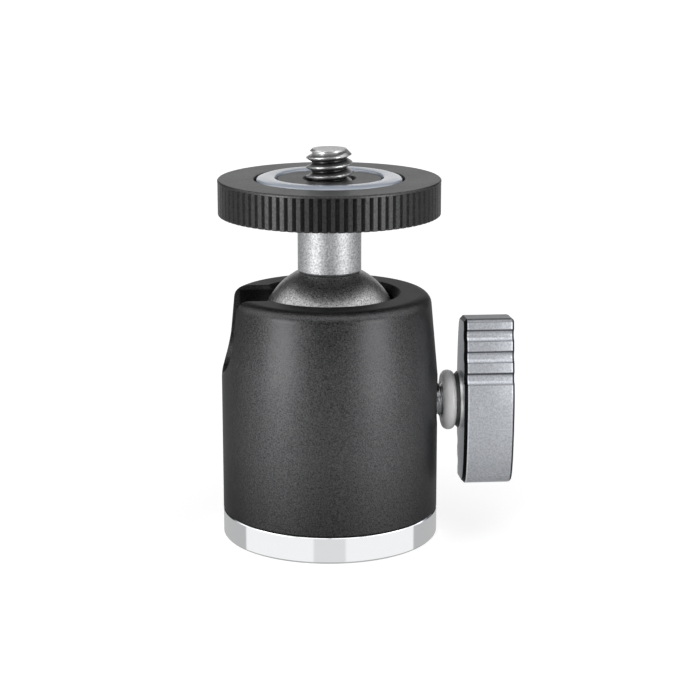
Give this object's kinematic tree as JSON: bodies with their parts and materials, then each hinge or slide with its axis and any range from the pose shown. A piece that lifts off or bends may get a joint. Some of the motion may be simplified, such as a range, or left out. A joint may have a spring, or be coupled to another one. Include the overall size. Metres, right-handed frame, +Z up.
{
  "type": "tripod ball head",
  "caption": "Small ball head: a ball on a stem with a knurled camera lock wheel, held in a notched round housing and clamped from the side by a wing knob.",
  "frame": {"origin": "centre of the tripod thread at the bottom face of the base", "axes": "+Z up the neck and the camera screw; +X along the clamp screw towards the knob; the notch is on -X"},
  "size_m": [0.04, 0.03, 0.0533],
  "materials": {
    "black_anodised": "black satin anodised, fine blasted grain",
    "polished_ring": "polished bright silver",
    "plug_black": "black anodised, turned",
    "brass_bush": "turned brass",
    "steel": "turned steel",
    "spring_steel": "dark spring steel",
    "hard_plastic": "natural acetal plastic",
    "ball_black": "black anodised, blasted",
    "silver_blasted": "bead blasted silver",
    "screw_steel": "dark bright steel thread",
    "wheel_black": "black anodised, knurled rim",
    "soft_pad": "milky clear silicone",
    "soft_white": "white silicone",
    "chrome_hub": "bright turned steel",
    "knob_grey": "titanium grey satin anodised",
    "black_oxide": "black oxide steel"
  },
  "bodies": {
    "base": {"housing": "black_anodised", "base_ring": "polished_ring", "base_plug": "plug_black", "thread_bush": "brass_bush", "screw_bush": "steel"},
    "lifter": {"lifter": "steel", "ball_cup": "hard_plastic", "disc_spring": "spring_steel"},
    "ball": {"ball": "ball_black"},
    "neck": {"stem": "silver_blasted", "camera_screw": "screw_steel"},
    "pad": {"camera_pad": "soft_pad"},
    "wheel": {"lock_wheel": "wheel_black"},
    "clamp_ring": {"soft_ring": "soft_white"},
    "clamp": {"clamp_screw": "steel", "knob_hub": "chrome_hub", "clamp_knob": "knob_grey", "knob_screw": "black_oxide"}
  },
  "joints": [
    {"name": "ball_tilt", "type": "hinge", "parent": "base", "child": "ball", "pos_m": [0, 0, 0.0283], "axis": [0, 1, 0], "range_deg": [-90, 35]},
    {"name": "neck_turn", "type": "hinge", "parent": "ball", "child": "neck", "pos_m": [0, 0, 0.0283], "axis": [0, 0, 1], "continuous": true},
    {"name": "wheel_rise", "type": "slide", "parent": "neck", "child": "pad", "axis": [0, 0, 1], "range_m": [0, 0.00254]},
    {"name": "wheel_turn", "type": "hinge", "parent": "pad", "child": "wheel", "pos_m": [0, 0, 0.0468], "axis": [0, 0, -1], "range_deg": [0, 720]},
    {"name": "cup_lift", "type": "slide", "parent": "base", "child": "lifter", "axis": [0, 0, 1], "range_m": [-0.0003, 0], "deforming": ["disc_spring"]},
    {"name": "clamp_travel", "type": "slide", "parent": "base", "child": "clamp_ring", "axis": [1, 0, 0], "range_m": [0, 0.0008]},
    {"name": "clamp_turn", "type": "hinge", "parent": "clamp_ring", "child": "clamp", "pos_m": [0.0184, 0, 0.0183], "axis": [1, 0, 0], "range_deg": [0, 360]}
  ],
  "couplings": [
    {"joint": "wheel_turn", "follows": "wheel_rise", "rad_per_m": 4947.4},
    {"joint": "clamp_turn", "follows": "clamp_travel", "rad_per_m": 7854},
    {"joint": "cup_lift", "follows": "clamp_travel", "ratio": -0.375}
  ]
}
